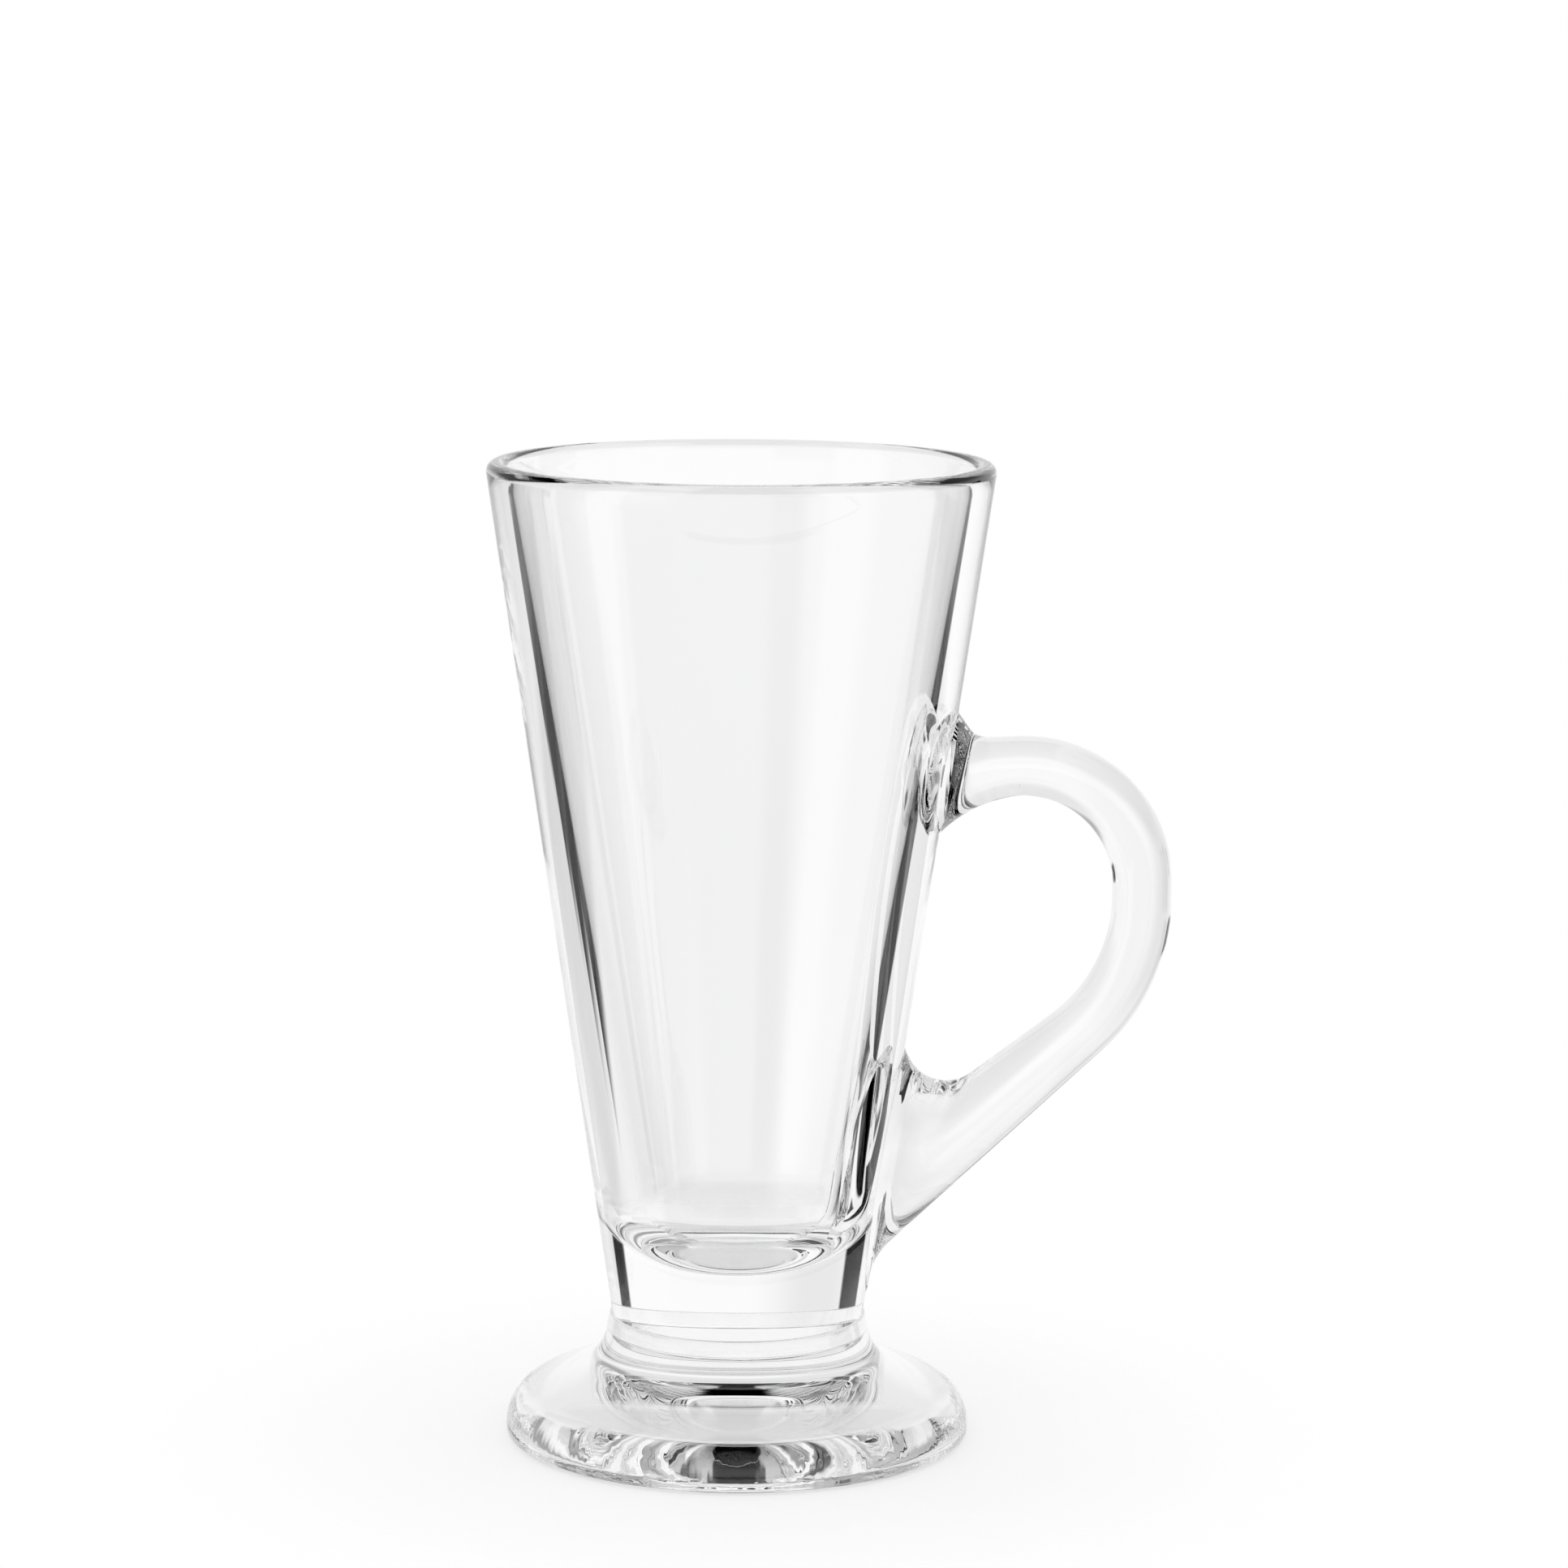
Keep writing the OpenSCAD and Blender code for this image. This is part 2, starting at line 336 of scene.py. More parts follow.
def clear_glass():
    """Clear pressed glass with a slow ripple in its skin, and tighter waves on the foot's edge."""
    material, tree, shader = new_material("clear_glass")
    shader.inputs["Base Color"].default_value = (*GLASS_TINT, 1)
    shader.inputs["Roughness"].default_value = 0
    shader.inputs["IOR"].default_value = GLASS_IOR
    shader.inputs["Transmission Weight"].default_value = 1
    where = tree.nodes.new("ShaderNodeTexCoord").outputs["Object"]
    height = maths(tree, "MULTIPLY_ADD", edge_share(tree, where), ripple(tree, where, EDGE_WAVE, EDGE_SEED),
                   ripple(tree, where, SKIN_WAVE, SKIN_SEED))
    bump = tree.nodes.new("ShaderNodeBump")
    bump.inputs["Strength"].default_value = 1
    bump.inputs["Distance"].default_value = RIPPLE_HEIGHT
    link_nodes(tree, (height, bump.inputs["Height"]), (bump.outputs[0], shader.inputs["Normal"]))
    return material


glass = clear_glass()
print("glass nodes:", len(glass.node_tree.nodes))

# %% Make the joint's finish
def hot_joint():
    """Faces inside the fused glass, where there is no surface to see."""
    material, _, shader = new_material("hot_joint")
    shader.inputs["Alpha"].default_value = 0
    return material


joint = hot_joint()
print("finishes:", glass.name, joint.name)

# %% [markdown]
# ## The round pieces
#
# Each outline goes through the lathe and comes out as a plain mesh. Its normals are made to face outwards,
# and edges that turn more sharply than the arcs do are marked sharp, so that a flat joint face keeps a
# crisp border. Flat faces at the height of a joint, inside its radius, take the joint's finish.

# %% Turn an outline into a piece
STEPS_ROUND = 240
MERGE_DISTANCE = 0.001 * MM
SHARP_ANGLE = math.radians(25)
# Least share of Z in the normal of a face that counts as flat
FLAT = 0.999


def plain_piece(name, mesh):
    """An object at the origin for a mesh."""
    piece = bpy.data.objects.new(name, mesh)
    bpy.context.scene.collection.objects.link(piece)
    return piece


def set_finishes(mesh):
    """Clear glass all over, with the joint's finish ready as the second one."""
    mesh.materials.clear()
    mesh.materials.append(glass)
    mesh.materials.append(joint)
    mesh.polygons.foreach_set("material_index", [0] * len(mesh.polygons))


def turned(name, line):
    """A mesh turned from an outline by the lathe."""
    row = bpy.data.meshes.new(name + "_outline")
    row.from_pydata([(p.x, 0, p.y) for p in line], [], [])
    blank = plain_piece(name + "_blank", row)
    modifier = blank.modifiers.new("lathe", "NODES")
    modifier.node_group = lathe
    for socket, value in (("Steps Round", STEPS_ROUND), ("Merge Distance", MERGE_DISTANCE),
                          ("Material", glass)):
        modifier[lathe_inputs[socket].identifier] = value
    bpy.context.view_layer.update()
    graph = bpy.context.evaluated_depsgraph_get()
    mesh = bpy.data.meshes.new_from_object(blank.evaluated_get(graph))
    bpy.data.objects.remove(blank)
    mesh.name = name
    set_finishes(mesh)
    return mesh


print("steps round a turned piece:", STEPS_ROUND)

# %% Finish the mesh of a piece
def joint_faces(mesh, height, radius):
    """Gives the joint's finish to the flat faces of a mesh at a height, inside a radius."""
    count = 0
    for face in mesh.polygons:
        at_height = abs(face.center.z - height) < MERGE_DISTANCE and abs(face.normal.z) > FLAT
        if at_height and face.center.xy.length < radius:
            face.material_index = 1
            count += 1
    return count


def smooth_mesh(mesh):
    """Turns the faces outwards and shades them smooth, with sharp edges at the outline's true corners."""
    work = bmesh.new()
    work.from_mesh(mesh)
    bmesh.ops.recalc_face_normals(work, faces=work.faces)
    work.to_mesh(mesh)
    work.free()
    mesh.shade_smooth()
    mesh.set_sharp_from_angle(angle=SHARP_ANGLE)


print("sharp edges turn by more than", round(math.degrees(SHARP_ANGLE)), "degrees")

# %% Make the collar and the foot
collar_mesh = turned("collar_ring", collar_line)
smooth_mesh(collar_mesh)
foot_mesh = turned("flared_foot", foot_line)
smooth_mesh(foot_mesh)
print("collar and foot joint faces:", joint_faces(collar_mesh, neck_z, neck_r),
      joint_faces(collar_mesh, foot_h, foot_top_r), joint_faces(foot_mesh, foot_h, foot_top_r))

# %% [markdown]
# ## The handle's path
#
# The handle is an arm of soft glass that spread where it met the wall, so it is widest at its two roots. A
# bevelled curve would be as round and even as a pipe along its whole length. So its two side lines are
# drawn first, seen from the front: each is a few straight runs with an arc in every corner, and both have
# the same number of stations. A rounded, slightly squared section then spans every pair of them.

# %% Sizes of the handle
# The arm leaves the wall, rises a little to its top, and reaches furthest out at the ear
handle_top_z = 107.2 * MM
handle_rise = 1.1 * MM
handle_ear_z = 82 * MM
handle_t = 8.9 * MM
handle_w = 11 * MM
bend_outer = 21.8 * MM
bend_inner = 13.6 * MM
knee_r = 22.2 * MM
slant_outer = math.radians(43.2)
slant_inner = math.radians(37)
# How the sides sweep out at the upper and the lower root: extra width, reach from the wall, and how
# hollow the sweep is
upper_flare = (6 * MM, 3.6 * MM, 3)
lower_flare = (3 * MM, 9 * MM, 2)
section_power = 2.1
# Rounds between the handle and the bowl: radius, reach from the wall along the arm, height along the wall
brow = (3 * MM, 3.2 * MM, 3.8 * MM)
throat = (19.8 * MM, 5 * MM, 5.5 * MM)
crook = (6.2 * MM, 4.8 * MM, 8.7 * MM)
tail = (10 * MM, 0.3 * MM, 5.6 * MM)
print(f"handle {handle_w / MM:.1f} wide and {handle_t / MM:.1f} thick, out to {handle_reach / MM:.1f}")

# %% Stations along a side line
ARC_STATIONS = 20
ARM_STATIONS = 12


def between(a, b):
    """Stations that share out a straight arm."""
    return [a.lerp(b, i / (ARM_STATIONS + 1)) for i in range(1, ARM_STATIONS + 1)]


def near_wall(p, slant, reach):
    """The point on a line down through p where it comes within a reach of the bowl's face."""
    rise = math.tan(slant)
    x = (neck_r + reach + taper * (p.y - neck_z - p.x * rise)) / (1 - taper * rise)
    return Vector((x, p.y - (p.x - x) * rise))


def side_line(root_z, upper, top_z, ear_x, bend_r, knee, knee_bend, lower, lower_z):
    """Stations of a side line from the upper root on the wall round to the lower one."""
    p = [Vector((bowl_r(root_z), root_z)), upper[0], Vector((ear_x, top_z)), knee, lower[0],
         Vector((bowl_r(lower_z), lower_z))]
    radii = upper[1], bend_r, knee_bend, lower[1]
    first, bend, low, last = (corner(*p[i:i + 3], r, ARC_STATIONS) for i, r in enumerate(radii))
    return ([p[0]] + first + between(first[-1], bend[0]) + bend + low[1:]
            + between(low[-1], last[0]) + last + [p[5]])


print("stations in each arc:", ARC_STATIONS + 1)

# %% Outer and inner line of the handle
def outer_line():
    """Over the brow, round the upper bend and the knee, and down to the tail."""
    radius = knee_r + handle_t
    knee = Vector((handle_reach, handle_ear_z - radius * math.tan(math.pi / 4 - slant_outer / 2)))
    brow_z = handle_top_z - handle_rise
    brow_point = Vector((bowl_r(brow_z) + brow[1], brow_z))
    tail_point = near_wall(knee, slant_outer, tail[1])
    return side_line(brow_z + brow[2], (brow_point, brow[0]), handle_top_z, handle_reach,
                     bend_outer, knee, radius, (tail_point, tail[0]), tail_point.y - tail[2])


def inner_line():
    """Under the throat, round inside the bends, and into the crook."""
    top_z, ear_x = handle_top_z - handle_t, handle_reach - handle_t
    knee = Vector((ear_x, handle_ear_z - knee_r * math.tan(math.pi / 4 - slant_inner / 2)))
    throat_z = top_z - handle_rise
    root_z = throat_z - throat[2]
    throat_point = Vector((bowl_r(root_z) + throat[1], throat_z))
    crook_point = near_wall(knee, slant_inner, crook[1])
    return side_line(root_z, (throat_point, throat[0]), top_z, ear_x,
                     bend_inner, knee, knee_r, (crook_point, crook[0]), crook_point.y + crook[2])


outer, inner = outer_line(), inner_line()
print("stations:", len(outer), len(inner))

# %% Sections of the handle
SECTION_STEPS = 64


def squarish(c):
    """A cosine or sine bent towards a square."""
    return math.copysign(abs(c) ** (2 / section_power), c)


def half_width(p):
    """Half the handle's width where its middle line passes a point."""
    extra, reach, power = upper_flare if p.y > handle_ear_z else lower_flare
    fade = max(0, 1 - max(0, p.x - bowl_r(p.y)) / reach)
    return handle_w / 2 + extra / 2 * fade ** power


def section(a, b):
    """Ring of points that spans a point of the outer line and the paired point of the inner one."""
    middle, half, width = (a + b) / 2, (a - b) / 2, half_width((a + b) / 2)
    ring = []
    for j in range(SECTION_STEPS):
        t = 2 * math.pi * j / SECTION_STEPS
        p = middle + half * squarish(math.cos(t))
        ring.append(Vector((p.x, width * squarish(math.sin(t)), p.y)))
    return ring


def on_bowl(p):
    """The point moved along X onto the bowl's face."""
    return Vector((math.sqrt(bowl_r(p.z) ** 2 - p.y ** 2), p.y, p.z))


rings = [section(a, b) for a, b in zip(outer, inner)]
roots = [[on_bowl(p) for p in rings[0]], [on_bowl(p) for p in rings[-1]]]
rings = [roots[0]] + rings + [roots[1]]
print("sections:", len(rings), "with", SECTION_STEPS, "points each")

# %% [markdown]
# ## Setting the roots into the bowl
#
# The bowl's face has to end exactly where each root begins. A Boolean could do it, but where two faces
# almost touch it leaves slivers, and in clear glass each sliver shows. So a window of the bowl's outer face
# is taken out and drawn again, unrolled flat: its border, the outlines of the two roots and some points
# between them go into a triangulation that must keep every line it is given. Rolled back up, the triangles
# inside an outline are the joint. The handle's ends use the very same triangles, so the two meet without a
# gap.

# %% Unroll and roll up again
mean_r = (neck_r + rim_r) / 2


def unrolled(p):
    """Place on the flattened bowl: distance round at the mean radius, and height."""
    return Vector((math.atan2(p.y, p.x) * mean_r, p.z))


def rolled(p):
    """The way back onto the bowl."""
    angle, radius = p.x / mean_r, bowl_r(p.y)
    return Vector((radius * math.cos(angle), radius * math.sin(angle), p.y))


root_loops = [[unrolled(p) for p in ring] for ring in roots]
print("points round each root:", [len(loop) for loop in root_loops])

# %% Triangulate inside a border
PATCH_STEP = 1.5 * MM
PATCH_CLEAR = 0.5 * MM
PATCH_MERGE = MERGE_DISTANCE / 10
# Twice the area under which a triangle is left out
SLIVER = 1e-4 * MM ** 2


def sides(loop):
    """Pairs of neighbouring points round a closed loop."""
    return zip(loop, loop[1:] + loop[:1])


def inside(p, loop):
    """Whether a flat point lies inside a closed loop."""
    hit = False
    for a, b in sides(loop):
        if (a.y > p.y) != (b.y > p.y) and p.x < a.x + (p.y - a.y) / (b.y - a.y) * (b.x - a.x):
            hit = not hit
    return hit


def distance_to(p, loop):
    """Distance from a flat point to the nearest side of a loop."""
    def to_side(a, b):
        share = max(0, min(1, (p - a).dot(b - a) / (b - a).length_squared))
        return (p - a - (b - a) * share).length

    return min(to_side(a, b) for a, b in sides(loop))


def triangulated(border, loops):
    """Points and triangles that fill a border and keep the loops, with a mark of the loop each is in."""
    points, edges = [], []
    for loop in [border] + loops:
        base, count = len(points), len(loop)
        points += loop
        edges += [(base + i, base + (i + 1) % count) for i in range(count)]
    low = Vector((min(p.x for p in border), min(p.y for p in border)))
    high = Vector((max(p.x for p in border), max(p.y for p in border)))
    across, up = (round((high - low)[i] / PATCH_STEP) for i in (0, 1))
    for i in range(1, across):
        for k in range(1, up):
            p = Vector((low.x + (high.x - low.x) * i / across, low.y + (high.y - low.y) * k / up))
            if inside(p, border) and min(distance_to(p, loop) for loop in [border] + loops) > PATCH_CLEAR:
                points.append(p)
    places, _, triangles, *_ = delaunay_2d_cdt(points, edges, [], 0, PATCH_MERGE)
    kept = []
    for f in triangles:
        a, b, c = (places[i] for i in f)
        middle = (a + b + c) / 3
        if abs((b - a).cross(c - a)) > SLIVER and inside(middle, border):
            kept.append((f, next((n for n, loop in enumerate(loops) if inside(middle, loop)), None)))
    return places, kept


root_middles = [sum(loop, Vector((0, 0))) / len(loop) for loop in root_loops]
print("each root's middle lies in its loop:",
      [inside(p, loop) for p, loop in zip(root_middles, root_loops)])

# %% Make the bowl
WINDOW_TURN = math.radians(36)
WINDOW_MARGIN = 4 * MM
FACE_CLOSE = 0.1 * MM


def border_ring(work):
    """Vertices round the opening of a mesh, in order."""
    start = next(v for e in work.edges if e.is_boundary for v in e.verts)
    ring, seen = [start], {start}
    while True:
        following = [e.other_vert(ring[-1]) for e in ring[-1].link_edges if e.is_boundary]
        following = [v for v in following if v not in seen]
        if not following:
            return ring
        ring.append(following[0])
        seen.add(following[0])


def bowl_piece():
    """The turned bowl with the outlines of the roots drawn into its outer face."""
    mesh = turned("tapered_bowl", bowl_line)
    joint_faces(mesh, neck_z, neck_r)
    work = bmesh.new()
    work.from_mesh(mesh)
    low_z = min(p.y for p in root_loops[1]) - WINDOW_MARGIN
    high_z = max(p.y for p in root_loops[0]) + WINDOW_MARGIN

    def in_window(face):
        c = face.calc_center_median()
        on_face = abs(c.xy.length - bowl_r(c.z)) < FACE_CLOSE
        return on_face and low_z < c.z < high_z and abs(math.atan2(c.y, c.x)) < WINDOW_TURN

    window = [f for f in work.faces if in_window(f)]
    bmesh.ops.delete(work, geom=window, context="FACES")
    ring = border_ring(work)
    places, faces = triangulated([unrolled(v.co) for v in ring], root_loops)
    verts = ring + [work.verts.new(rolled(p)) for p in places[len(ring):]]
    for f, mark in faces:
        face = work.faces.new([verts[i] for i in f])
        face.material_index = 0 if mark is None else 1
    work.to_mesh(mesh)
    work.free()
    smooth_mesh(mesh)
    return mesh, places, faces


bowl_mesh, patch_places, patch_faces = bowl_piece()
print("bowl faces:", len(bowl_mesh.polygons), "of them in joints:",
      sum(1 for f in bowl_mesh.polygons if f.material_index == 1))

# %% Make the handle
def handle_piece():
    """The swept handle, closed at both roots by the triangles that the bowl has there."""
    work = bmesh.new()
    verts = [[work.verts.new(p) for p in ring] for ring in rings]
    for one, two in zip(verts, verts[1:]):
        for j in range(SECTION_STEPS):
            k = (j + 1) % SECTION_STEPS
            work.faces.new((one[j], one[k], two[k], two[j]))
    for mark in range(len(root_loops)):
        own = [f for f, m in patch_faces if m == mark]
        cap = {i: work.verts.new(rolled(patch_places[i])) for i in {i for f in own for i in f}}
        for f in own:
            work.faces.new([cap[i] for i in f]).material_index = 1
    bmesh.ops.remove_doubles(work, verts=work.verts, dist=MERGE_DISTANCE)
    mesh = bpy.data.meshes.new("ear_handle")
    mesh.materials.append(glass)
    mesh.materials.append(joint)
    work.to_mesh(mesh)
    work.free()
    smooth_mesh(mesh)
    return mesh


handle_mesh = handle_piece()
print("handle faces:", len(handle_mesh.polygons))

# %% [markdown]
# ## Putting the pieces on the frame
#
# Nothing on a mug moves, so each piece rides on its only body and stands for one solid of the frame, which
# is hidden. A closed mesh has no open edge, and its volume can be set beside that of the solid, so the count
# of open edges and the volume are printed.

# %% Place the pieces
def place(name, mesh, node):
    """Makes a piece of a mesh, which stands for a solid of the frame."""
    piece = plain_piece(name, mesh)
    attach(piece, "root")
    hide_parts(node)
    check = bmesh.new()
    check.from_mesh(mesh)
    loose = sum(1 for e in check.edges if not e.is_manifold)
    volume = check.calc_volume() / MM ** 3
    print(f"{name}: {len(mesh.polygons)} faces, {loose} open edges, {volume:.0f} mm3")
    check.free()
    return piece


for name, mesh, node in (("tapered_bowl", bowl_mesh, "bowl"), ("collar_ring", collar_mesh, "collar"),
                         ("flared_foot", foot_mesh, "foot"), ("ear_handle", handle_mesh, "handle")):
    place(name, mesh, node)

# %% [markdown]
# ## Surroundings
#
# Clear glass shows what stands round it, so a studio for glass is built of light and dark. White panels
# stand all round. Where two of them don't meet there is a dark gap, and the curved glass squeezes each gap
# into one of the black lines that draw the walls, the roots of the handle and the foot. A lamp couldn't do
# this: it only adds highlights. Each gap is a patch of directions in the world: a direction has an azimuth,
# 0 behind the mug and positive towards the handle, and an elevation. One node group makes the patch, and
# each gap places it with its own values.

# %% A gap between panels, as a node group
HALF_TURN = 180
GAP_ANGLES = ("Azimuth", "Half Width", "Low", "High", "Softness")


def soft_step(tree, value, edge, softness):
    """Rises from 0 to 1 where a value passes an edge."""
    low = maths(tree, "SUBTRACT", edge, softness)
    return smooth_range(tree, value, low, maths(tree, "ADD", edge, softness))


def gap_group():
    """Node group: 1 inside a patch of directions, 0 outside it. Angles are in degrees."""
    tree = bpy.data.node_groups.new("studio_gap", "ShaderNodeTree")
    tree.interface.new_socket("Direction", in_out="INPUT", socket_type="NodeSocketVector")
    for name in GAP_ANGLES:
        tree.interface.new_socket(name, in_out="INPUT", socket_type="NodeSocketFloat")
    tree.interface.new_socket("Mask", in_out="OUTPUT", socket_type="NodeSocketFloat")
    given, group_out = tree.nodes.new("NodeGroupInput").outputs, tree.nodes.new("NodeGroupOutput")
    parts = tree.nodes.new("ShaderNodeSeparateXYZ")
    tree.links.new(given["Direction"], parts.inputs[0])

    azimuth = maths(tree, "DEGREES", maths(tree, "ARCTAN2", parts.outputs[0], parts.outputs[1]))
    turn = maths(tree, "SUBTRACT", azimuth, given["Azimuth"])
    away = maths(tree, "ABSOLUTE", maths(tree, "WRAP", turn, HALF_TURN, -HALF_TURN))
    elevation = maths(tree, "DEGREES", maths(tree, "ARCSINE", parts.outputs[2]))
    beside = soft_step(tree, away, given["Half Width"], given["Softness"])
    above = soft_step(tree, elevation, given["Low"], given["Softness"])
    over = soft_step(tree, elevation, given["High"], given["Softness"])
    band = maths(tree, "SUBTRACT", above, over)
    tree.links.new(maths(tree, "MULTIPLY", band, maths(tree, "SUBTRACT", 1, beside)), group_out.inputs[0])
    return tree


gap = gap_group()
print("gap inputs:", [s.name for s in gap.interface.items_tree if s.in_out == "INPUT"])

# %% [markdown]
# ## Where the gaps stand
#
# A row places one gap: its azimuth, half its width, its lowest and highest elevation, its softness and how
# dark it is. Each was found by following the light of one dark line backwards through the glass. The narrow
# gaps that draw the walls and the roots show only in light that the glass has turned back inside itself at
# least once, as the total reflection in a wall does. In a photographer's studio such strips are set up for
# one view of the camera, and from elsewhere they would stand as black bars behind the bowl. The others are
# dark to all light that comes through the glass or off it.

# %% Gaps and panels
# Gaps for light that the glass has turned back
WALL_GAPS = (
    (-52, 15.6, -17.3, -14.4, 0.7, 1.0),
    (-53, 15, -19.2, -16.7, 0.8, 1.0),
    (-55, 13.5, -20.9, -18.6, 0.8, 1.0),
    (-61, 12.5, -22.7, -20.2, 0.6, 1.0),
    (55, 17.5, -17.8, -14.4, 0.8, 1.0),
    (56, 17.3, -19.5, -17.2, 0.8, 1.0),
    (55, 15.5, -50, -19, 1, 1.0),
    (75, 16, -12, 5, 1.2, 1.0),
    (-70, 34, -13, 24, 3, 0.45),
)
# Gaps for all light in the glass
GAPS = (
    (-49, 8.5, -7, 1, 1, 1.0),
    (48.5, 5, -7, 1, 1, 1.0),
    (-28, 15, -24, 8, 10, 0.18),
    (-134, 16, -50, -20, 2, 1.0),
    (-150, 15, -17, 8, 3, 0.9),
    (180, 32, -50, 2, 4, 0.97),
    (180, 78, 24, 52, 6, 0.75),
    (-68, 32, 27, 54, 4, 0.97),
    (72, 38, 14, 50, 6, 0.6),
)
# The dark strip overhead is placed by angles from the back over the top, and to the sides of that line
STRIP = (90, 42, -15, 16, 2, 1.0)
# Brightness of the panels by the sine of the elevation
PANELS = (
    (-1, 0.88), (-0.5, 0.86), (-0.34, 0.9), (-0.26, 1), (-0.2, 0.98), (-0.1, 0.99), (0.1, 1),
    (0.2, 0.95), (0.3, 0.84), (0.7, 0.78), (1, 0.72))
print("gaps:", len(WALL_GAPS), "for light turned back and", len(GAPS) + 1, "for all light in the glass")

# %% [markdown]
# ## The studio as a world
#
# A real studio for glass is paper and panels. Planes with emission could stand for them here, but a world
# can't cast a stray shadow, costs no memory and can be told which light sees it. So the panels and their
# gaps show only in a reflection or through the glass, while the camera sees plain white, and all other
# surfaces get the same even light.

# %% Which light sees what
def light_path(tree, name):
    """One output of a Light Path node."""
    return tree.nodes.new("ShaderNodeLightPath").outputs[name]


def glass_ray(tree):
    """1 for what is seen in a reflection or through the glass, 0 for camera rays and plain light."""
    glossy, through = light_path(tree, "Is Glossy Ray"), light_path(tree, "Is Transmission Ray")
    return maths(tree, "MAXIMUM", glossy, through)


def turned_back_ray(tree):
    """1 for light that the glass has turned back at least once."""
    return maths(tree, "MINIMUM", light_path(tree, "Glossy Depth"), 1)


def seen_ray(tree):
    """1 for all that is seen, straight or in the glass, and 0 for plain light."""
    return maths(tree, "MAXIMUM", light_path(tree, "Is Camera Ray"), glass_ray(tree))


# %% Build the world
def panel_level(tree, sine):
    """Brightness of the panels at the sine of an elevation."""
    curve = tree.nodes.new("ShaderNodeFloatCurve")
    tree.links.new(sine, curve.inputs["Value"])
    points = curve.mapping.curves[0].points
    curve.mapping.clip_min_x, curve.mapping.clip_min_y = -1, 0
    curve.mapping.extend = "HORIZONTAL"
    for point, spot in zip(points, (PANELS[0], PANELS[-1])):
        point.location = spot
    for spot in PANELS[1:-1]:
        points.new(*spot)
    for point in points:
        point.handle_type = "VECTOR"
    curve.mapping.update()
    return curve.outputs[0]


def darkened(tree, level, direction, row, shown=1):
    """The level with one gap in it, for the share of the light that sees the gap."""
    *angles, depth = row
    node = tree.nodes.new("ShaderNodeGroup")
    node.node_tree = gap
    tree.links.new(direction, node.inputs["Direction"])
    for name, value in zip(GAP_ANGLES, angles):
        node.inputs[name].default_value = value
    shade = maths(tree, "MULTIPLY", maths(tree, "MULTIPLY", node.outputs[0], depth), shown)
    return maths(tree, "MULTIPLY", level, maths(tree, "SUBTRACT", 1, shade))


def add_world():
    """Bright panels with gaps for light in the glass, and even white for all else."""
    world = bpy.data.worlds.new("studio")
    world.use_nodes = True
    bpy.context.scene.world = world
    tree = world.node_tree
    where = tree.nodes.new("ShaderNodeTexCoord").outputs["Generated"]
    parts, tipped = tree.nodes.new("ShaderNodeSeparateXYZ"), tree.nodes.new("ShaderNodeCombineXYZ")
    link_nodes(tree, (where, parts.inputs[0]), (parts.outputs[2], tipped.inputs[0]),
               (parts.outputs[1], tipped.inputs[1]), (parts.outputs[0], tipped.inputs[2]))
    level, turned_back = panel_level(tree, parts.outputs[2]), turned_back_ray(tree)
    for row in GAPS:
        level = darkened(tree, level, where, row)
    for row in WALL_GAPS:
        level = darkened(tree, level, where, row, turned_back)
    level = darkened(tree, level, tipped.outputs[0], STRIP)
    mix, background = tree.nodes.new("ShaderNodeMix"), tree.nodes["Background"]
    mix.inputs["A"].default_value = 1
    background.inputs["Strength"].default_value = 1
    link_nodes(tree, (glass_ray(tree), mix.inputs["Factor"]), (level, mix.inputs["B"]),
               (mix.outputs["Result"], background.inputs["Color"]))
    return world


studio = add_world()
print("world nodes:", len(studio.node_tree.nodes))

# %% [markdown]
# ## The floor
#
# The mug stands on a plain pale sheet. Close to the foot the sheet is solid, so that it keeps the shadow,
# and further out it fades into the white of the room, as a sweep of paper does in a studio. A curved sweep
# behind the mug would do it too, but it would show bent in the glass from every side. Most of the sheet's
# brightness is a glow that only the camera and the glass see, so it throws no extra light on the mug.

# %% Values of the floor
FLOOR_HALF = 0.6
FLOOR_DROP = 0.2 * MM
FLOOR_SOLID = 0.045
FLOOR_GONE = 0.1
FLOOR_GLOW = 0.65
PAPER_ROUGHNESS = 0.9
print(f"floor solid to {FLOOR_SOLID / MM:.0f} mm from the axis and gone at {FLOOR_GONE / MM:.0f} mm")

# %% Make the floor
def floor_finish():
    """Pale backlit paper that fades out with the distance from the mug."""
    material, tree, shader = new_material("pale_paper")
    shader.inputs["Base Color"].default_value = (*(1 - FLOOR_GLOW,) * 3, 1)
    shader.inputs["Roughness"].default_value = PAPER_ROUGHNESS
    shader.inputs["Specular IOR Level"].default_value = 0
    shader.inputs["Emission Color"].default_value = (1, 1, 1, 1)
    where = tree.nodes.new("ShaderNodeTexCoord").outputs["Object"]
    fade = smooth_range(tree, length_of(tree, where), FLOOR_GONE, FLOOR_SOLID)
    glow = maths(tree, "MULTIPLY", seen_ray(tree), FLOOR_GLOW)
    link_nodes(tree, (fade, shader.inputs["Alpha"]), (glow, shader.inputs["Emission Strength"]))
    return material


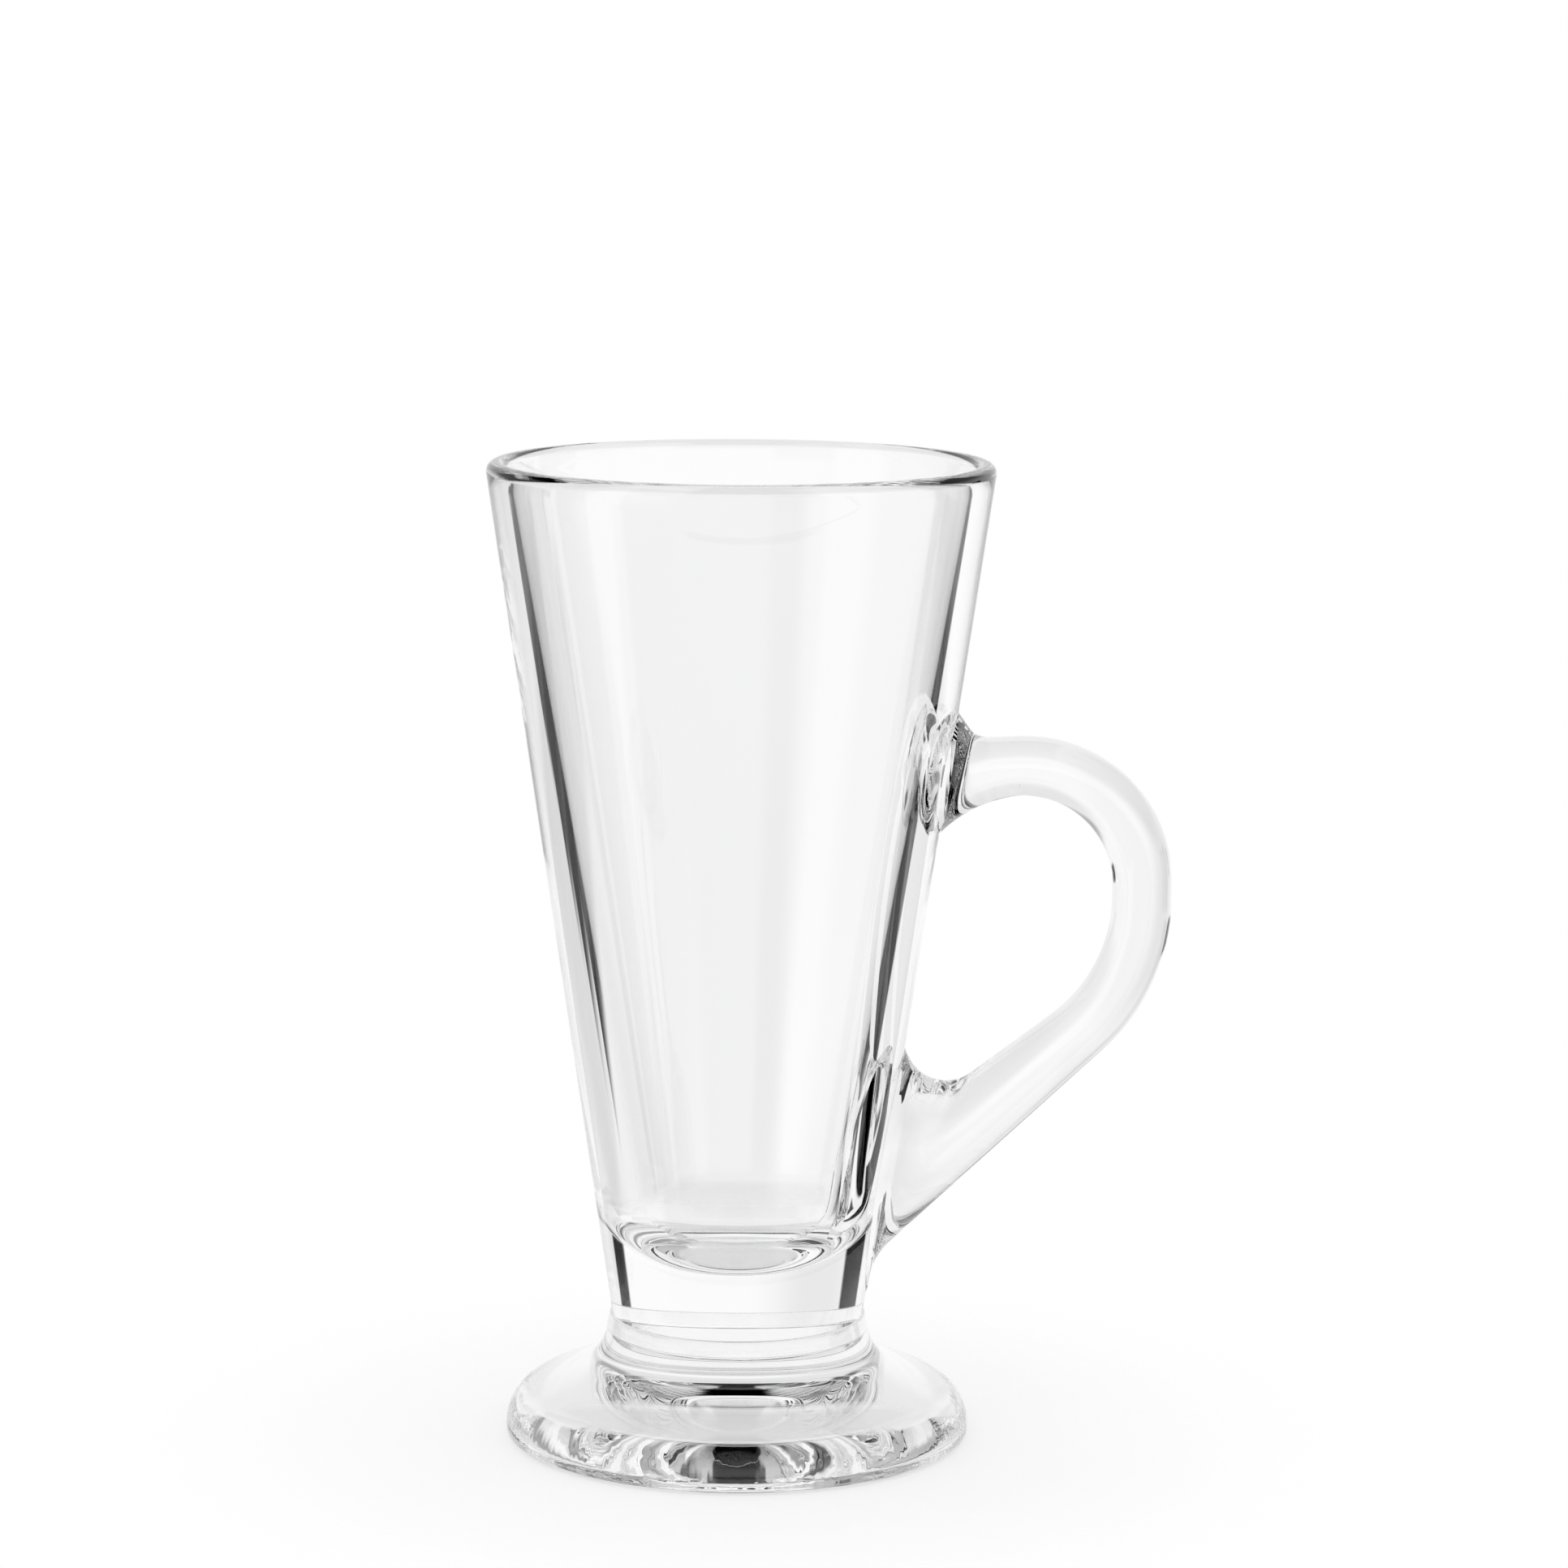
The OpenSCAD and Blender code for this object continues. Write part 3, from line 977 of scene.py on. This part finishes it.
floor_mesh = bpy.data.meshes.new("floor")
floor_mesh.from_pydata(
    [(x * FLOOR_HALF, y * FLOOR_HALF, -FLOOR_DROP) for x, y in ((-1, -1), (1, -1), (1, 1), (-1, 1))],
    [], [(0, 1, 2, 3)])
floor_mesh.materials.append(floor_finish())
floor = plain_piece("floor", floor_mesh)
print("floor corners:", len(floor_mesh.vertices))

# %% [markdown]
# ## The camera
#
# In the photograph the rim is a flat ellipse, so the camera looks down by only about nine degrees, from
# most of a metre away. Its place, lens and slight roll were fitted so that the rim, the foot and the handle
# fall where they do there. A wider lens from nearer would open the rim's ellipse more than the foot's.

# %% Camera
# Angles are in radians, and the lens and the sensor in millimetres
CAMERA_PLACE = (6.54 * MM, -773.2 * MM, 219.9 * MM)
CAMERA_DOWN = 0.1552
CAMERA_ROLL = 0.0062
CAMERA_LENS = 121.0
CAMERA_SENSOR = 36
camera_data = bpy.data.cameras.new("camera")
camera_data.sensor_width = CAMERA_SENSOR
camera_data.lens = CAMERA_LENS
camera = bpy.data.objects.new("camera", camera_data)
bpy.context.scene.collection.objects.link(camera)
camera.location = CAMERA_PLACE
camera.rotation_euler = (math.pi / 2 - CAMERA_DOWN, -CAMERA_ROLL * math.cos(CAMERA_DOWN),
                         CAMERA_ROLL * math.sin(CAMERA_DOWN))
bpy.context.scene.camera = camera
print(f"camera looks {math.degrees(CAMERA_DOWN):.1f} degrees down, rolled {math.degrees(CAMERA_ROLL):.1f}")

# %% [markdown]
# ## Light through many faces
#
# A ray that enters this mug can pass a dozen faces before it leaves: two walls, the handle, the solid base
# and the foot. Where its path is cut short the glass turns black. So the limits on bounces are raised, and
# the colours are shown as they are, by the standard view.

# %% Render settings
LIGHT_BOUNCES = 32
scene = bpy.context.scene
scene.view_settings.view_transform = "Standard"
for limit in ("max_bounces", "glossy_bounces", "transmission_bounces", "transparent_max_bounces"):
    setattr(scene.cycles, limit, LIGHT_BOUNCES)
print("bounces:", LIGHT_BOUNCES)

# %% [markdown]
# ## Finish
#
# The dressed mug has to be as big as its solids. A look at a render can't tell that, but their boxes can.
# Here the scene is brought up to date at the end.

# %% Finish
bpy.context.view_layer.update()
